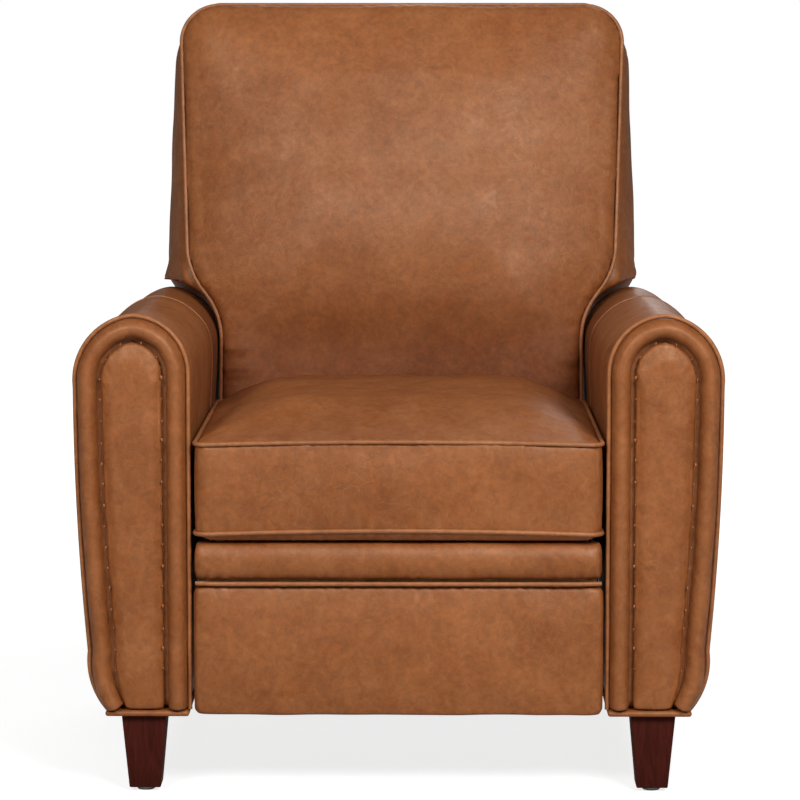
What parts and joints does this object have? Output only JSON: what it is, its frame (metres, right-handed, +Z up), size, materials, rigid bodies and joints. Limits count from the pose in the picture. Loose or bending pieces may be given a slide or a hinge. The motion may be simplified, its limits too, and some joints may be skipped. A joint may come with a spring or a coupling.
{
  "type": "pushback recliner",
  "caption": "High-leg leather recliner with rounded arms; leaning on the back moves the seat forward and swings the footrest out from under it.",
  "frame": {"origin": "on the floor under the middle of the chair's box", "axes": "+Z up, -Y towards the front where the sitter faces, +X to the viewer's right from the front"},
  "size_m": [0.8308, 0.8891, 1.0119],
  "materials": {
    "leather": "satin",
    "leather_welt": "satin",
    "leg_wood": "satin",
    "frame_wood": "matte",
    "steel": "satin",
    "fastener": "satin",
    "spring": "satin",
    "glide": "matte",
    "cloth": "matte"
  },
  "bodies": {
    "base": {"front_leg_left": "leg_wood", "front_leg_right": "leg_wood", "rear_leg_left": "leg_wood", "rear_leg_right": "leg_wood", "leg_glides": "glide", "leg_bolts": "fastener", "arm_frame_left": "frame_wood", "arm_frame_right": "frame_wood", "arm_pad_left": "leather", "arm_pad_right": "leather", "arm_sole_left": "cloth", "arm_sole_right": "cloth", "arm_border_left": "leather", "arm_border_right": "leather", "arm_welt_left": "leather_welt", "arm_welt_right": "leather_welt", "arm_facing_left": "leather", "arm_facing_right": "leather", "front_stretcher": "frame_wood", "rear_rail": "leather", "stretcher_bolts": "fastener", "base_plates": "steel", "base_plate_bolts": "fastener", "base_pivots": "fastener"},
    "back": {"back_cushion": "leather", "back_welt": "leather_welt", "back_shell": "leather", "back_frame": "frame_wood", "back_springs": "spring", "back_spring_clips": "spring", "back_brackets": "steel", "back_bracket_bolts": "fastener"},
    "swing_links": {"swing_links": "steel"},
    "seat": {"seat_cushion": "leather", "seat_welt_upper": "leather_welt", "seat_welt_lower": "leather_welt", "seat_deck": "cloth", "seat_frame": "frame_wood", "seat_springs": "spring", "seat_spring_clips": "spring", "seat_plates": "steel", "seat_plate_bolts": "fastener", "seat_pivots": "fastener"},
    "cranks": {"crank_links": "steel", "crank_torque_tube": "steel", "crank_pivots": "fastener"},
    "idler_links": {"idler_links": "steel", "idler_pivots": "fastener"},
    "carrier_links": {"carrier_links": "steel"},
    "control_links": {"control_links": "steel"},
    "footrest": {"footrest_board": "frame_wood", "footrest_panel": "leather", "footrest_band": "leather", "footrest_welt": "leather_welt", "footrest_brackets": "steel", "footrest_screws": "fastener", "footrest_pivots": "fastener"}
  },
  "joints": [
    {"name": "back_recline", "type": "hinge", "parent": "base", "child": "back", "pos_m": [0, 0.218, 0.345], "axis": [-1, 0, 0], "range_deg": [0, 28]},
    {"name": "swing_link_turn", "type": "hinge", "parent": "base", "child": "swing_links", "pos_m": [0, -0.092, 0.305], "axis": [-1, 0, 0], "range_deg": [0, 28]},
    {"name": "seat_hang", "type": "hinge", "parent": "swing_links", "child": "seat", "pos_m": [0, -0.08293, 0.17532], "axis": [-1, 0, 0], "range_deg": [-28, 0]},
    {"name": "crank_turn", "type": "hinge", "parent": "seat", "child": "cranks", "pos_m": [0, -0.307, 0.268], "axis": [-1, 0, 0], "range_deg": [0, 92]},
    {"name": "idler_turn", "type": "hinge", "parent": "seat", "child": "idler_links", "pos_m": [0, -0.34132, 0.29863], "axis": [-1, 0, 0], "range_deg": [0, 92]},
    {"name": "carrier_turn", "type": "hinge", "parent": "cranks", "child": "carrier_links", "pos_m": [0, -0.24519, 0.11502], "axis": [-1, 0, 0], "range_deg": [-92, 0]},
    {"name": "control_turn", "type": "hinge", "parent": "cranks", "child": "control_links", "pos_m": [0, -0.24519, 0.16101], "axis": [-1, 0, 0], "range_deg": [-92, 0]},
    {"name": "footrest_swing", "type": "hinge", "parent": "carrier_links", "child": "footrest", "pos_m": [0, -0.374, 0.23], "axis": [-1, 0, 0], "range_deg": [0, 92]}
  ],
  "couplings": [
    {"joint": "swing_link_turn", "follows": "back_recline", "ratio": 1},
    {"joint": "seat_hang", "follows": "back_recline", "ratio": -1},
    {"joint": "crank_turn", "follows": "back_recline", "ratio": 3.2857},
    {"joint": "idler_turn", "follows": "back_recline", "ratio": 3.2857},
    {"joint": "carrier_turn", "follows": "back_recline", "ratio": -3.2857},
    {"joint": "control_turn", "follows": "back_recline", "ratio": -3.2857},
    {"joint": "footrest_swing", "follows": "back_recline", "ratio": 3.2857}
  ]
}
